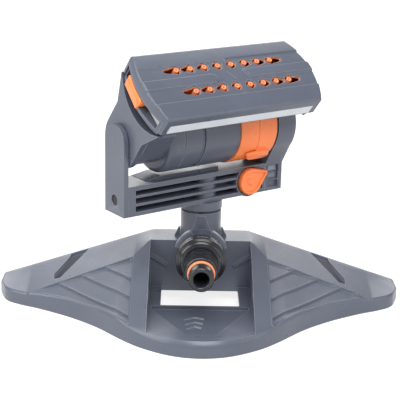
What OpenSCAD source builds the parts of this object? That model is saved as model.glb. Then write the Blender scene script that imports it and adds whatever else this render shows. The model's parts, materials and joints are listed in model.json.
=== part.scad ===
// Oscillating lawn sprinkler on a winged base: swivelling yoke, tilting spray head, two range rings,
// a flow knob and two width sliders that spread sixteen nozzles.
// +Z is up. The origin is on the ground below the vertical stem that the yoke swivels on.

/* [Base] */
// Width over the two wings
base_w = 230; // [226:1:240]
// Height of the flat crest that carries the stem
crest_z = 36.6; // [35:0.2:38]
// Wall thickness of the base shell
base_wall = 2.4; // [2:0.1:3]
// Half width of the well in front of the stem
well_half_w = 28.4; // [26:0.2:30]
// Height of the well floor
well_floor_z = 8.3; // [7:0.1:10]

/* [Inlet and stem] */
// Height of the inlet axis
inlet_z = 33; // [32:0.2:34]
// Radius of the stem and of its side branch
stem_r = 11.5; // [11:0.1:12]
// Height of the stem's top
stem_top_z = 53.2; // [52:0.2:53.4]
// Tip radius of the quick-connect nose
nose_r = 6.8; // [6.6:0.05:7]
// Distance of the nose tip from the stem axis
nose_reach = 62; // [60:0.5:64]

/* [Yoke] */
// Turn of the yoke about the stem at rest, in degrees
yaw = 35.5; // [0:0.5:60]
// Height of the beam's underside
beam_z = 59.6; // [59.6:0.1:60]
// Height of the beam
beam_h = 16.9; // [16.5:0.1:17]
// Depth of the beam and of both uprights
beam_d = 19.1; // [18.5:0.1:20]
// Height of the head's pivot axis
axis_z = 99.8; // [99.8:0.1:101]

/* [Spray head] */
// Forward tilt of the spray plate at rest, in degrees
tilt = 38.6; // [30:0.2:44]
// Radius of the barrel
barrel_r = 20; // [19.8:0.1:20]
// Length of the spray plate along its straight edges
plate_l = 102; // [101:0.5:103]
// Depth of the spray plate
plate_d = 44; // [43.5:0.5:45]
// Height of the plate's edges above the pivot axis
plate_h = 42.7; // [42.5:0.1:43]
// Pitch of the nozzles along a row
nozzle_pitch = 8.9; // [8.8:0.05:9]
// Height of the range rings' tabs above the rings
ring_tab = 2.2; // [1.5:0.1:2.2]

/* [Hidden] */

$fn = 64;
eps = 0.02;
body_colour = "#66707f";
dark_colour = "#34373d";
orange = "#f2793a";
silver = "#c9ced2";
steel = "#a9acb0";
white = "#e6e4de";

// Base outline and roof
base_half = base_w / 2;
back_y = 12;
front_pts = [[0, -87.2], [15.3, -84.3], [31.1, -75.1], [41.8, -65.1], [56.2, -49.2], [72, -36.1],
             [90.4, -24.6], [101.9, -18.9], [110.5, -12], [base_half, -0.4]];
rim_pts = [[0, 8.8], [28, 8.8], [38, 9.4], [45, 11], [72, 10.6], [90, 8.9], [97.7, 7.8], [base_half, 7.6]];
wing_slope = 0.33;
band_x = 37.6;
ridge_end_x = 97.7;
well_back_y = -8.2;
back_lean = 0.75;
back_rim_z = 2.5;
hole_half_w = 21.8;
hole_front_y = -36.3;
slot_pts = [[64.5, 10.4], [75.2, 10.4], [75.6, 7], [83.3, -8], [82.8, -14.5], [79, -14.5]];

// Inlet stations, measured forward from the stem axis
spigot_end = 34;
nut_end = 38;
nut_r = 13.85;
bore_r = 4.15;
water_r = 6;
pocket_z = 16;
screw_x = 8.4;
foot_r = 6;

// Yoke stations along the beam
yoke_left = -58.1;
upright_t = 3;
arm_x = [38.2, 49.4];
cap_t = 1.4;
boss_r = 20.5;
knob_x = 26.6;
knob_z = 67.6;
swivel_bore_r = 8.56;
swivel_tube_r = 8.5;

// Gear train inside the arm
gear_m = 0.75;
out_teeth = 30;
wheel_teeth = 20;
pinion_teeth = 8;
idler_z = axis_z - gear_m * (out_teeth + pinion_teeth) / 2;
turbine_z = idler_z - gear_m * (wheel_teeth + pinion_teeth) / 2;
axle_r = 1;
axle_clear = 0.06;

// Head stations along the barrel
hub_x = [-54.7, -50.7];
barrel_left_x = [-35, -13.2];
barrel_main_x = [-12.6, 36.9];
seat_x = 11.4;
seat_r = 18.6;
ring_r = 20.8;
journal_r = 6.04;
plate_x = -2.7;
plate_bulge = 4.6;
plate_crown = 2.5;
plate_t = 2.4;
end_r = (pow(plate_d / 2, 2) + pow(plate_bulge, 2)) / (2 * plate_bulge);
crown_r = (pow(plate_d / 2, 2) + pow(plate_crown, 2)) / (2 * plate_crown);
tray_x = [-50.5, 45.1];
belly_h = 21.6;
row_y = [-6.6, 8.2];
row_x = [2.2, -2.5];
pivot_h = 29.8;
nozzle_top_h = 44.4;
slot_r = 2.6;
slot_tip_r = 1.5;
function slot_reach(i) = [3.4, 4.6, 5.8, 8][floor(abs(i - 3.5))];
slide_travel = 6.4;
comb_t = 1.2;
function comb_h(side) = side < 0 ? 33.9 : 35.5;
function side_of(i) = i < 3.5 ? -1 : 1;
function spread(i) = [1.0, 2.3, 3.6, 4.9][floor(abs(i - 3.5))];
function nozzle_x(row, i) = row_x[row] + (i - 3.5) * nozzle_pitch;

// Value at x on a curve through points, with a smooth slope at each point
function slope_at(p, i) = i == 0 ? 0
    : i == len(p) - 1 ? (p[i][1] - p[i - 1][1]) / (p[i][0] - p[i - 1][0])
    : (p[i + 1][1] - p[i - 1][1]) / (p[i + 1][0] - p[i - 1][0]);
function piece(p, x, i = 0) = i >= len(p) - 2 || x <= p[i + 1][0] ? i : piece(p, x, i + 1);
function curve(p, x) = let (i = piece(p, x), w = p[i + 1][0] - p[i][0], t = (x - p[i][0]) / w)
    p[i][1] * (1 - t) * (1 - t) * (1 + 2 * t) + p[i + 1][1] * t * t * (3 - 2 * t)
    + w * (slope_at(p, i) * t * (1 - t) * (1 - t) - slope_at(p, i + 1) * t * t * (1 - t));
function ramp(a, a0, a1, v0, v1) = v0 + (v1 - v0) * min(1, max(0, (a - a0) / (a1 - a0)));

function front_edge(a) = curve(front_pts, a);
function rim_height(a) = lookup(a, rim_pts);
function back_height(a) = min(crest_z, 7.7 + wing_slope * (base_half - a));
function ridge_y(a) = a <= band_x ? ramp(a, well_half_w, band_x, well_back_y, -14.8)
    : a <= ridge_end_x ? ramp(a, band_x, ridge_end_x, -14.8, -21.2) : front_edge(a) + 0.5;
function ridge_z(a) = a <= band_x ? ramp(a, well_half_w, band_x, crest_z, 28.7)
    : a <= ridge_end_x ? ramp(a, band_x, ridge_end_x, 28.7, 7.8) : rim_height(a);
function foot_y(a) = back_y + back_lean * back_height(a);

// One section of the base at x, moved in by inset and lowered by drop
function base_section(x, inset, drop) = let (a = abs(x), f = front_edge(a) + inset * 1.4)
    [[x, f, drop > 0 ? -1 : 0], [x, f, rim_height(a) - drop * 0.6],
     [x, max(f + 0.1, ridge_y(a)), ridge_z(a) - drop], [x, back_y - inset * 0.3, back_height(a) - drop],
     [x, foot_y(a) - inset * 1.3, back_rim_z], [x, foot_y(a) - inset * 1.3, drop > 0 ? -1 : 0]];
half_x = concat([for (i = [0:3]) i * 7.1], [well_half_w, 31.5, 34.5, band_x], [for (i = [1:10]) band_x + i * 6.01],
                [101.9, 105, 108, 110.5, 112.7, 114.2]);
function stations(end) = let (h = concat([for (x = half_x) if (x < end - 0.4) x], [end]), n = len(h))
    concat([for (i = [n - 1:-1:1]) -h[i]], h);

module base_loft(inset, drop) {
    xs = stations(base_half - inset);
    n = 6;
    pts = [for (x = xs) each base_section(x, inset, drop)];
    last = (len(xs) - 1) * n;
    sides = [for (s = [0:len(xs) - 2], k = [0:n - 1]) let (a = s * n + k, b = s * n + (k + 1) % n)
        each [[a, b, a + n], [b, b + n, a + n]]];
    ends = concat([for (k = [1:n - 2]) [0, k + 1, k]], [for (k = [1:n - 2]) [last, last + k, last + k + 1]]);
    polyhedron(pts, concat(sides, ends));
}

module along_x(x0, x1) {
    translate([x0, 0, 0]) rotate([90, 0, 90]) linear_extrude(x1 - x0) children();
}
module rod_x(r, x0, x1, y = 0, z = 0) {
    translate([x0, y, z]) rotate([0, 90, 0]) cylinder(r = r, h = x1 - x0);
}
module rod_z(r, z0, z1, x = 0, y = 0) {
    translate([x, y, z0]) cylinder(r = r, h = z1 - z0);
}
module box(x0, x1, y0, y1, z0, z1) {
    translate([x0, y0, z0]) cube([x1 - x0, y1 - y0, z1 - z0]);
}
module both_sides() {
    children();
    mirror([1, 0, 0]) children();
}
module at_inlet() {
    translate([0, 0, inlet_z]) rotate([90, 0, 0]) children();
}
module at_yoke() {
    rotate([0, 0, yaw]) children();
}
module at_knob() {
    at_yoke() translate([knob_x, 0, knob_z]) rotate([90, 0, 0]) children();
}
module at_head() {
    at_yoke() translate([0, 0, axis_z]) rotate([tilt, 0, 0]) children();
}
module torus(r, t, z) {
    translate([0, 0, z]) rotate_extrude() translate([r, 0]) circle(t, $fn = 24);
}

// Base body

module base_cavity() {
    far = base_half + 10;
    inner = well_half_w + base_wall;
    intersection() {
        base_loft(base_wall, base_wall);
        union() {
            both_sides() box(inner, far, -far, far, -2, crest_z);
            box(-inner - eps, inner + eps, well_back_y + base_wall, far, -2, crest_z);
            box(-inner - eps, inner + eps, -far, well_back_y + base_wall + eps, -2, well_floor_z - base_wall);
        }
    }
}
module gusset() {
    translate([stem_r + 0.15, 1.2, crest_z - 0.4]) rotate([90, 0, 0])
        linear_extrude(2.4) polygon([[0, 0], [3.2, 0], [0.6, 5.8], [0, 5.8]]);
}
module base_shell() {
    pocket_r = stem_r + 0.2;
    color(body_colour) difference() {
        union() {
            difference() {
                base_loft(0, 0);
                base_cavity();
                box(-well_half_w, well_half_w, -base_w, well_back_y, well_floor_z, crest_z + 1);
            }
            intersection() {
                rod_z(pocket_r + base_wall, pocket_z - base_wall, crest_z - 1);
                box(-20, 20, well_back_y, 20, 0, crest_z);
            }
            rod_z(foot_r, 0, pocket_z);
            both_sides() gusset();
        }
        rod_z(pocket_r, pocket_z, crest_z + 1);
        at_inlet() cylinder(r = pocket_r, h = 20);
        box(-pocket_r, pocket_r, -20, 0, inlet_z, crest_z + 1);
        box(-hole_half_w, hole_half_w, hole_front_y, well_back_y, -1, well_floor_z + 1);
        both_sides() translate([0, 0, 4]) linear_extrude(crest_z) polygon(slot_pts);
        both_sides() rod_z(1.7, -1, pocket_z + 1, screw_x, 0);
        both_sides() rod_z(3.2, -1, pocket_z - base_wall, screw_x, 0);
    }
}
module stem_body() {
    color(body_colour) difference() {
        union() {
            rod_z(stem_r, pocket_z, stem_top_z);
            at_inlet() cylinder(r = stem_r, h = 26);
            at_inlet() cylinder(r = 9.9, h = spigot_end);
        }
        rod_z(swivel_bore_r, 45, stem_top_z + 1);
        rod_z(water_r, inlet_z, 46);
        at_inlet() cylinder(r = water_r, h = spigot_end + 1);
        both_sides() rod_z(1.4, pocket_z - 1, 25, screw_x, 0);
    }
}
module swivel_ring() {
    color(dark_colour) difference() {
        rod_z(10.8, stem_top_z, stem_top_z + 1);
        rod_z(swivel_bore_r, stem_top_z - 1, stem_top_z + 2);
    }
}
module base_screws() {
    color(steel) both_sides() {
        rod_z(1.38, pocket_z - base_wall, 24, screw_x, 0);
        rod_z(2.8, pocket_z - base_wall - 1.8, pocket_z - base_wall, screw_x, 0);
    }
}
module inlet_nut() {
    color(dark_colour) at_inlet() rotate_extrude() polygon([[10, 26.3], [12.6, 26.3], [nut_r, 28],
        [nut_r, 33.5], [13, 36.2], [11.6, nut_end], [9.2, nut_end], [9.2, 36.4], [10, 36.4]]);
}
module inlet_nose() {
    color(dark_colour) at_inlet() rotate_extrude() polygon([[bore_r, 34.7], [9.9, 34.7], [9.9, 36.3],
        [9.1, 36.3], [9.1, 41], [8.5, 43], [7, 45.5], [7, 47.5], [8.5, 49], [8.5, 51.3], [5.15, 51.3],
        [5.15, 53.9], [nose_r, 53.9], [nose_r, nose_reach - 1], [nose_r - 1, nose_reach],
        [bore_r, nose_reach]]);
}
module inlet_o_ring() {
    color(orange) at_inlet() torus(6.35, 1.18, 52.6);
}
module inlet_washer() {
    color(dark_colour) at_inlet() translate([0, 0, spigot_end]) difference() {
        cylinder(r = 9.8, h = 0.7);
        translate([0, 0, -1]) cylinder(r = water_r, h = 3);
    }
}
module inlet_screen() {
    color(white) at_inlet() difference() {
        translate([0, 0, 24]) cylinder(r = 5.7, h = 10.6);
        translate([0, 0, 24.6]) cylinder(r = 5.1, h = 11);
        for (turn = [0:45:135], level = [26.5:2:32.5]) {
            translate([0, 0, level]) rotate([0, 90, turn]) translate([0, 0, -8]) cylinder(r = 0.6, h = 16, $fn = 16);
        }
    }
}

// Yoke body

module beam_box(x0, x1, z0, z1) {
    box(x0, x1, -beam_d / 2, beam_d / 2, z0, z1);
}
module yoke_beam() {
    inner = yoke_left + upright_t;
    color(body_colour) at_yoke() difference() {
        union() {
            beam_box(inner, arm_x[0], beam_z, beam_z + 2.3);
            beam_box(inner, arm_x[0], beam_z + beam_h - 2.6, beam_z + beam_h);
            for (z = [5.6, 10.2]) {
                beam_box(inner, arm_x[0], beam_z + z, beam_z + z + 1.3);
            }
            beam_box(inner, inner + 4.6, beam_z, beam_z + beam_h);
            beam_box(arm_x[0] - 1.6, arm_x[0], beam_z, beam_z + beam_h);
            box(inner, arm_x[0], -1.2, 1.2, beam_z, beam_z + beam_h);
            box(-41, 8, -4.5, beam_d / 2, beam_z + beam_h - eps, beam_z + beam_h + 1.7);
            rod_z(8.2, beam_z, beam_z + beam_h);
            rod_x(4.2, 0, arm_x[0], 0, knob_z);
            translate([knob_x, 6, knob_z]) rotate([90, 0, 0]) cylinder(r = 9.2, h = 6 + beam_d / 2);
        }
        box(9, arm_x[0] + 1, -beam_d, beam_d, beam_z + beam_h, beam_z + beam_h + 2);
        rod_z(7.05, beam_z - 1, beam_z + 4.8);
        rod_z(4, beam_z, knob_z);
        rod_x(3, 0, arm_x[0] + 1, 0, knob_z);
        rod_x(1.5, inner - 1, inner + 6, 0, 67.5);
        translate([knob_x, 3.5, knob_z]) rotate([90, 0, 0]) cylinder(r = 2.56, h = 30);
        translate([knob_x, -8.4, knob_z]) rotate([90, 0, 0]) cylinder(r = 8.4, h = 10);
    }
}
module left_upright() {
    color(body_colour) at_yoke() difference() {
        union() {
            beam_box(yoke_left, yoke_left + upright_t, beam_z, axis_z);
            rod_x(beam_d / 2, yoke_left, yoke_left + upright_t, 0, axis_z);
        }
        rod_x(2.9, yoke_left - 1, yoke_left + 1.8, 0, 67.5);
        rod_x(1.6, yoke_left, yoke_left + upright_t + 1, 0, 67.5);
    }
}
module left_screw() {
    color(steel) at_yoke() {
        rod_x(2.7, yoke_left + 0.6, yoke_left + 1.8, 0, 67.5);
        rod_x(1.48, yoke_left + 1.8, -51, 0, 67.5);
    }
}
module left_pivot_pin() {
    color(steel) at_yoke() rod_x(3.95, yoke_left + upright_t, -47, 0, axis_z);
}
module arm_outline(skin) {
    translate([0, axis_z]) circle(boss_r - skin);
    translate([-beam_d / 2 + skin, beam_z + skin]) square([beam_d - 2 * skin, axis_z - beam_z - skin]);
    polygon([[-16 + skin, 87], [-beam_d / 2 + skin, 75.5], [beam_d / 2 - skin, 75.5], [16 - skin, 87]]);
}
boss_pts = [[-14.8, axis_z + 6.5], [14.8, axis_z + 6.5], [0, 63.6]];
module right_arm() {
    wall = 1.8;
    color(body_colour) at_yoke() difference() {
        union() {
            difference() {
                along_x(arm_x[0], arm_x[1]) arm_outline(0);
                along_x(arm_x[0] + wall, arm_x[1] + 1) arm_outline(wall);
            }
            for (p = boss_pts) {
                rod_x(2.4, arm_x[0] + wall - eps, arm_x[1], p[0], p[1]);
            }
        }
        for (p = boss_pts) {
            rod_x(1.3, arm_x[0] + 3, arm_x[1] + 1, p[0], p[1]);
        }
        rod_x(6.1, arm_x[0] - 1, arm_x[0] + wall + 1, 0, axis_z);
        rod_x(3, arm_x[0] - 1, arm_x[0] + wall + 1, 0, knob_z + 2);
        for (z = [2.3, 6.9, 11.5]) {
            box(arm_x[0] + 2.6, arm_x[1] - 1.6, -beam_d / 2 - 1, -beam_d / 2 + 1, beam_z + z, beam_z + z + 3.2);
        }
    }
}
module arm_cap() {
    color(body_colour) at_yoke() difference() {
        along_x(arm_x[1], arm_x[1] + cap_t) arm_outline(0);
        for (p = boss_pts) {
            rod_x(1.6, arm_x[1] - 1, arm_x[1] + cap_t + 1, p[0], p[1]);
            rod_x(2.7, arm_x[1] + 0.7, arm_x[1] + cap_t + 1, p[0], p[1]);
        }
    }
}
module cap_screws() {
    color(steel) at_yoke() for (p = boss_pts) {
        rod_x(1.28, arm_x[0] + 4, arm_x[1] + 0.7, p[0], p[1]);
        rod_x(2.4, arm_x[1] + 0.7, arm_x[1] + cap_t + 0.4, p[0], p[1]);
    }
}
module swivel_tube() {
    color(body_colour) difference() {
        union() {
            rod_z(swivel_tube_r, 45.4, stem_top_z + 1.4);
            rod_z(11.9, stem_top_z + 1.4, beam_z);
            rod_z(7, beam_z, beam_z + 4.6);
        }
        rod_z(5.5, 45, beam_z + 5);
        for (z = [46.8, 50]) {
            difference() {
                rod_z(swivel_tube_r + 1, z, z + 1.8);
                rod_z(7, z - 1, z + 3);
            }
        }
    }
}
module swivel_o_rings() {
    color(dark_colour) {
        torus(7.76, 0.72, 47.7);
        torus(7.76, 0.72, 50.9);
    }
}
module gear_axles() {
    color(steel) at_yoke() for (z = [idler_z, turbine_z]) {
        rod_x(axle_r, arm_x[0] + 1.8, arm_x[1], 0, z);
    }
}
lever_z = axis_z + 14.5;
module trip_lever() {
    color(white) at_yoke() difference() {
        union() {
            rod_x(2, 41, 43, 0, lever_z);
            box(41, 43, -7, 7, lever_z - 0.9, lever_z + 0.9);
        }
        rod_x(axle_r + axle_clear, 40, 44, 0, lever_z);
    }
}
module trip_spring() {
    color(steel) at_yoke() {
        rod_x(axle_r, arm_x[0] + 1.8, arm_x[1], 0, lever_z);
        translate([44.6, 0, lever_z]) rotate([0, 90, 0]) for (z = [0:1.1:3.3]) {
            torus(1.9, 0.35, z);
        }
    }
}
module gear(teeth, x0, x1, z, first) {
    pitch_r = gear_m * teeth / 2;
    half = 360 / teeth * 0.2;
    root = pitch_r - 0.95;
    translate([0, 0, z]) along_x(x0, x1) {
        circle(root);
        for (i = [0:teeth - 1]) {
            rotate(first + i * 360 / teeth) polygon([[root - 0.2, -root * sin(half * 1.35)],
                [pitch_r + 0.6, -pitch_r * sin(half * 0.55)], [pitch_r + 0.6, pitch_r * sin(half * 0.55)],
                [root - 0.2, root * sin(half * 1.35)]]);
        }
    }
}
module idler_gear() {
    color(white) at_yoke() difference() {
        union() {
            gear(wheel_teeth, 43, 45.4, idler_z, 270);
            gear(pinion_teeth, 45.4, 48.6, idler_z, 90 + 180 / pinion_teeth);
        }
        rod_x(axle_r + axle_clear, 42, 49, 0, idler_z);
    }
}
module turbine_wheel() {
    blades = 10;
    color(white) at_yoke() difference() {
        union() {
            rod_x(3.2, 40.4, 42.8, 0, turbine_z);
            rod_x(6.3, 42.2, 42.8, 0, turbine_z);
            for (i = [0:blades - 1]) {
                translate([0, 0, turbine_z]) rotate([i * 360 / blades, 0, 0]) box(40.4, 42.4, -0.4, 0.4, 2.8, 6.3);
            }
            gear(pinion_teeth, 42.8, 45.6, turbine_z, 90 + 180 / pinion_teeth);
        }
        rod_x(axle_r + axle_clear, 40, 46, 0, turbine_z);
    }
}

// Flow knob body

module flow_knob() {
    color(orange) at_knob() difference() {
        union() {
            translate([0, 0, 8.7]) cylinder(r = 7.7, h = 3.6);
            translate([0, 0, 9.9]) rotate(17.5) linear_extrude(2.4) polygon([[0, 7.7], [5, 7.4], [11.2, 2.4],
                [11.2, -1], [3.4, -6.9]]);
        }
        translate([0, 0, 11.5]) cylinder(r = 6.4, h = 2);
        cylinder(r = 1.6, h = 10.5);
    }
}
module flow_spindle() {
    color(white) at_knob() difference() {
        union() {
            translate([0, 0, -3]) cylinder(r = 2.5, h = 11.7);
            translate([0, 0, 8.7]) cylinder(r = 1.6, h = 1.8);
        }
        rotate([0, 90, 0]) translate([0, 0, -5]) cylinder(r = 1.7, h = 10);
    }
}

// Head body

module hub_outline() {
    circle(15);
    translate([-15, 0]) square([30, 16]);
    polygon([[-15, 15], [-22.2, 30.4], [-13.4, 21.3], [13.4, 21.3], [22.2, 30.4], [15, 15]]);
}
module left_hub() {
    color(body_colour) at_head() difference() {
        union() {
            along_x(hub_x[0], hub_x[1]) hub_outline();
            along_x(hub_x[1], barrel_left_x[0]) {
                circle(13.6);
                translate([-13.6, 0]) square([27.2, 14]);
                translate([-15.4, 14]) square([30.8, 6.9]);
            }
        }
        rod_x(4, hub_x[0] - 1, -46.6);
    }
}
module barrel_left() {
    color(body_colour) at_head() difference() {
        union() {
            rod_x(barrel_r - 1.2, barrel_left_x[0], barrel_left_x[0] + 1.2);
            rod_x(barrel_r, barrel_left_x[0] + 1.2, barrel_left_x[1]);
            rod_x(barrel_r - 1, barrel_left_x[1], barrel_main_x[0]);
        }
        rod_x(16.5, barrel_left_x[0] + 2.5, barrel_main_x[0] + 1);
    }
}
module barrel_main() {
    color(body_colour) at_head() difference() {
        union() {
            rod_x(barrel_r, barrel_main_x[0], seat_x);
            rod_x(seat_r, seat_x, barrel_main_x[1]);
        }
        rod_x(15.5, barrel_main_x[0] - 1, barrel_main_x[1] + 1);
        rod_z(3.5, 10, 25, 0, 0);
    }
}
module barrel_cap() {
    color(dark_colour) at_head() difference() {
        union() {
            rod_x(20.1, barrel_main_x[1], barrel_main_x[1] + 0.9);
            rod_x(15.4, barrel_main_x[1] - 3, barrel_main_x[1]);
            rod_x(journal_r, barrel_main_x[1] + 0.9, 46);
            rod_x(4.95, 46, 48.6);
        }
        rod_x(3.2, barrel_main_x[1] - 4, 49);
    }
}
module output_gear() {
    color(white) at_yoke() difference() {
        gear(out_teeth, 46, 48.2, axis_z, 270);
        rod_x(4.98, 45, 49, 0, axis_z);
    }
}
module range_ring(x0, x1, tab_x0, tab_x1, turn) {
    color(orange) at_head() difference() {
        union() {
            rod_x(ring_r, x0, x1);
            intersection() {
                rod_x(ring_r + ring_tab, x0 - 20, x1 + 20);
                rotate([turn, 0, 0]) {
                    box(x0 + 0.5, x1 - 0.5, -4.5, 4.5, seat_r + 1, ring_r + ring_tab + 1);
                    box(tab_x0, tab_x1, -3.4, 3.4, ring_r + 0.7, ring_r + ring_tab + 1);
                }
            }
        }
        rod_x(seat_r + 0.08, x0 - 1, x1 + 1);
    }
}
module range_ring_left() {
    range_ring(seat_x + 0.2, 24, 14, 28, -96);
}
module range_ring_right() {
    range_ring(24.3, barrel_main_x[1] - 0.3, 20.5, 35, 96);
}
module tray_outline(skin) {
    s = skin;
    polygon([[-19.7 + s, 39], [-19.7 + s, 32], [-20.6 + s, 31 + s / 2], [-13 + s * 0.4, belly_h + s],
             [13 - s * 0.4, belly_h + s], [20.6 - s, 31 + s / 2], [19.7 - s, 32], [19.7 - s, 39]]);
}
module comb_window(side, wall) {
    edge = side < 0 ? tray_x[0] : tray_x[1];
    box(edge - wall - 1, edge + wall + 1, -4.4, 14.4, comb_h(side) - 0.4, comb_h(side) + comb_t + 0.4);
}
module head_tray() {
    wall = 1.8;
    color(body_colour) at_head() difference() {
        union() {
            along_x(tray_x[0], tray_x[1]) tray_outline(0);
            along_x(barrel_left_x[0] + 4, seat_x - 3) polygon([[-11, 15], [11, 15], [12.6, belly_h + eps],
                [-12.6, belly_h + eps]]);
        }
        along_x(tray_x[0] + wall, tray_x[1] - wall) difference() {
            tray_outline(wall);
            translate([-30, 39]) square([60, 5]);
        }
        box(tray_x[0] + wall, tray_x[1] - wall, -17.9, 17.9, 36, 40);
        rod_x(barrel_r + 0.05, -60, 60);
        rod_z(3.5, 15, 25);
        comb_window(-1, wall);
        comb_window(1, wall);
    }
}
module plate_plan(inset) {
    intersection() {
        translate([plate_x - 80, -plate_d / 2 + inset]) square([160, plate_d - 2 * inset]);
        translate([plate_x - plate_l / 2 - plate_bulge + end_r + inset, 0]) circle(end_r, $fn = 120);
        translate([plate_x + plate_l / 2 + plate_bulge - end_r - inset, 0]) circle(end_r, $fn = 120);
    }
}
module under_crown(drop) {
    rotate([0, 90, 0]) translate([crown_r - plate_h - plate_crown, 0, -80]) cylinder(r = crown_r - drop, h = 160, $fn = 160);
}
module spray_slot(row, i) {
    tip_x = side_of(i) * (slot_reach(i) - slot_tip_r);
    edge = 0.05;
    translate([nozzle_x(row, i), row_y[row], 30]) {
        cylinder(r = slot_r, h = 20, $fn = 32);
        translate([tip_x, 0, 0]) cylinder(r = slot_tip_r, h = 20, $fn = 32);
        linear_extrude(20) polygon([[0, slot_r - edge], [0, edge - slot_r], [tip_x, edge - slot_tip_r],
            [tip_x, slot_tip_r - edge]]);
    }
}
module top_plate() {
    color(body_colour) at_head() difference() {
        intersection() {
            translate([0, 0, 31.6]) linear_extrude(20) plate_plan(0);
            under_crown(0);
        }
        intersection() {
            translate([0, 0, 20]) linear_extrude(30) plate_plan(1.9);
            under_crown(plate_t);
        }
        box(-80, tray_x[0] - 0.5, -19.9, 19.9, 20, 38.6);
        box(tray_x[1] + 0.5, 80, -19.9, 19.9, 20, 38.6);
        box(plate_x - 47.6, plate_x + 47.6, -30, -plate_d / 2 + 0.8, 31.8, 37.6);
        for (row = [0, 1], i = [0:7]) {
            spray_slot(row, i);
        }
    }
}
module front_trim() {
    color(silver) at_head() box(plate_x - 47.5, plate_x + 47.5, -plate_d / 2 - 0.1, -plate_d / 2 + 0.75, 31.9, 37.5);
}
module end_plan(side) {
    intersection() {
        plate_plan(1);
        translate([side < 0 ? tray_x[0] - 20 : tray_x[1] + 0.1, -19.6]) square([19.9, 39.2]);
    }
}
module end_cap(side) {
    edge = side < 0 ? tray_x[0] : tray_x[1];
    back_wall = 1.2;
    difference() {
        translate([0, 0, 26.6]) linear_extrude(11.8) end_plan(side);
        box(side < 0 ? edge - 20 : edge + back_wall, side < 0 ? edge - back_wall : edge + 20, -17.4, 19, 28.4, 36.8);
        comb_window(side, 4);
        along_x(hub_x[0] - 0.1, hub_x[1] + 0.1) hub_outline();
    }
}
module end_caps() {
    color(body_colour) at_head() {
        end_cap(-1);
        end_cap(1);
    }
}
module scale_plates() {
    color(silver) at_head() {
        box(tray_x[0] - 1.5, tray_x[0] - 1.2, -17, -4.9, 29, 36.4);
        box(tray_x[1] + 1.2, tray_x[1] + 1.5, -17, -4.9, 29, 36.4);
    }
}
module nozzle_manifold() {
    color(dark_colour) at_head() difference() {
        box(nozzle_x(1, 0) - 5, nozzle_x(0, 7) + 5, row_y[0] - 4, row_y[1] + 4, belly_h + 1.9, pivot_h - 2.2);
        box(nozzle_x(1, 0) - 3, nozzle_x(0, 7) + 3, row_y[0] - 2.4, row_y[1] + 2.4, belly_h, pivot_h - 4.2);
        for (row = [0, 1], i = [0:7]) {
            rod_z(1.2, 20, pivot_h, nozzle_x(row, i), row_y[row]);
        }
    }
}
module nozzle(row, i) {
    color(orange) at_head() translate([nozzle_x(row, i), row_y[row], 0]) difference() {
        union() {
            translate([0, 1.9, pivot_h]) rotate([90, 0, 0]) cylinder(r = 2, h = 3.8);
            cylinder(r = 1.5, h = nozzle_top_h - 2, $fn = 32);
            translate([0, 0, nozzle_top_h - 2]) cylinder(r = 1.4, h = 2, $fn = 32);
        }
        translate([0, 0, -1]) cylinder(r = 3, h = pivot_h - 0.6);
        translate([0, 0, 20]) cylinder(r = 0.5, h = 30, $fn = 16);
    }
}

// Width slider bodies

module comb_slot(row, i) {
    reach = comb_h(side_of(i)) + comb_t / 2 - pivot_h;
    drift = side_of(i) * spread(i) * reach / (nozzle_top_h - pivot_h);
    wide = 1.85;
    edge = 1.75;
    translate([nozzle_x(row, i), row_y[row], 30]) {
        cylinder(r = wide, h = 10, $fn = 32);
        translate([drift, slide_travel, 0]) cylinder(r = wide, h = 10, $fn = 32);
        linear_extrude(10) polygon([[-edge, 0], [edge, 0], [drift + edge, slide_travel],
            [drift - edge, slide_travel]]);
    }
}
module width_slider(side) {
    edge = side < 0 ? tray_x[0] : tray_x[1];
    comb_end = side < 0 ? edge + 3 : edge - 3;
    level = comb_h(side);
    middle = nozzle_x(side < 0 ? 0 : 1, side < 0 ? 3 : 4);
    first = side < 0 ? 0 : 4;
    color(orange) at_head() {
        intersection() {
            translate([0, 0, 29]) linear_extrude(7.2) offset_plan();
            box(side < 0 ? edge - 9 : edge + 1.9, side < 0 ? edge - 1.9 : edge + 9, -3, 14.5, 28, 37);
        }
        box(min(edge - side * 4, edge + side * 2.2), max(edge - side * 4, edge + side * 2.2), 2.2, 14,
            level, level + comb_t);
        difference() {
            box(min(comb_end, middle - side * 2.6), max(comb_end, middle - side * 2.6), -9.4, 17.4, level,
                level + comb_t);
            for (row = [0, 1], i = [first:first + 3]) {
                comb_slot(row, i);
            }
        }
    }
}
module offset_plan() {
    plate_plan(-0.4);
}
module width_slider_left() {
    width_slider(-1);
}
module width_slider_right() {
    width_slider(1);
}

base_shell();
stem_body();
swivel_ring();
base_screws();
inlet_nut();
inlet_nose();
inlet_o_ring();
inlet_washer();
inlet_screen();
yoke_beam();
left_upright();
left_screw();
left_pivot_pin();
right_arm();
arm_cap();
cap_screws();
swivel_tube();
swivel_o_rings();
gear_axles();
trip_spring();
trip_lever();
turbine_wheel();
idler_gear();
flow_knob();
flow_spindle();
left_hub();
barrel_left();
barrel_main();
barrel_cap();
output_gear();
range_ring_left();
range_ring_right();
head_tray();
top_plate();
front_trim();
end_caps();
scale_plates();
nozzle_manifold();
width_slider_left();
width_slider_right();
for (row = [0, 1], i = [0:7]) {
    nozzle(row, i);
}
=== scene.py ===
"""Looks of an oscillating lawn sprinkler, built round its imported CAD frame."""

import json
import math

import bmesh
import bpy
from mathutils import Matrix, Vector


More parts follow.
